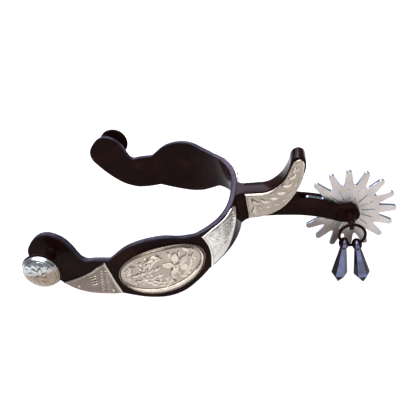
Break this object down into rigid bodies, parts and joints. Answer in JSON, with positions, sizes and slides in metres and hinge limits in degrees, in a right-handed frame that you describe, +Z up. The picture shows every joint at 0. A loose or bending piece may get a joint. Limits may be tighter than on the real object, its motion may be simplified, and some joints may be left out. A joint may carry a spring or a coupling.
{
  "type": "western spur",
  "caption": "Western spur for one boot: U-shaped heel band with strap buttons, chap guard, drooping forked shank, turning star rowel and swinging jingle bobs.",
  "frame": {"origin": "middle of the heel seat, on the inner face of the heel band, halfway up the band", "axes": "+X back to the rowel, +Z up as worn, -Y the side with the jingle bobs (outer side of a left boot)"},
  "size_m": [0.1614, 0.1248, 0.0763],
  "materials": {
    "browned_steel": "browned and polished, dark reddish brown",
    "engraved_silver": "hand-engraved nickel silver, warm satin with bright cuts",
    "polished_silver": "engraved and mirror polished silver",
    "rowel_steel": "satin faces with polished edges"
  },
  "bodies": {
    "spur_frame": {"chap_guard": "browned_steel", "heel_band": "browned_steel", "left_button_base": "browned_steel", "left_button_cap": "polished_silver", "left_button_post": "browned_steel", "left_concho": "engraved_silver", "left_concho_rope": "engraved_silver", "left_front_mounting": "engraved_silver", "left_guard_mounting": "engraved_silver", "left_mounting_rivet_front": "engraved_silver", "left_mounting_rivet_rear": "engraved_silver", "left_rear_mounting": "engraved_silver", "right_button_base": "browned_steel", "right_button_cap": "polished_silver", "right_button_post": "browned_steel", "right_concho": "engraved_silver", "right_concho_rope": "engraved_silver", "right_front_mounting": "engraved_silver", "right_guard_mounting": "engraved_silver", "right_mounting_rivet_front": "engraved_silver", "right_mounting_rivet_rear": "engraved_silver", "right_rear_mounting": "engraved_silver", "rowel_pin": "browned_steel", "shank": "browned_steel"},
    "rowel_wheel": {"rowel": "rowel_steel"},
    "ring": {"jingle_ring": "browned_steel"},
    "bob_front": {"jingle_bob_front": "browned_steel"},
    "bob_rear": {"jingle_bob_rear": "browned_steel"}
  },
  "joints": [
    {"name": "rowel_spin", "type": "hinge", "parent": "spur_frame", "child": "rowel_wheel", "pos_m": [0.05425, 0, -0.0125], "axis": [0, 1, 0], "continuous": true},
    {"name": "jingle_ring_swing", "type": "hinge", "parent": "spur_frame", "child": "ring", "pos_m": [0.054, -0.0116, -0.0132], "axis": [1, 0, 0], "range_deg": [-60, 8]},
    {"name": "bob_front_swing", "type": "hinge", "parent": "ring", "child": "bob_front", "pos_m": [0.04983, -0.0116, -0.02352], "axis": [0.7193, 0, -0.6947], "range_deg": [-30, 20]},
    {"name": "bob_rear_swing", "type": "hinge", "parent": "ring", "child": "bob_rear", "pos_m": [0.05575, -0.0116, -0.02494], "axis": [0.9563, 0, 0.2924], "range_deg": [-30, 20]}
  ]
}
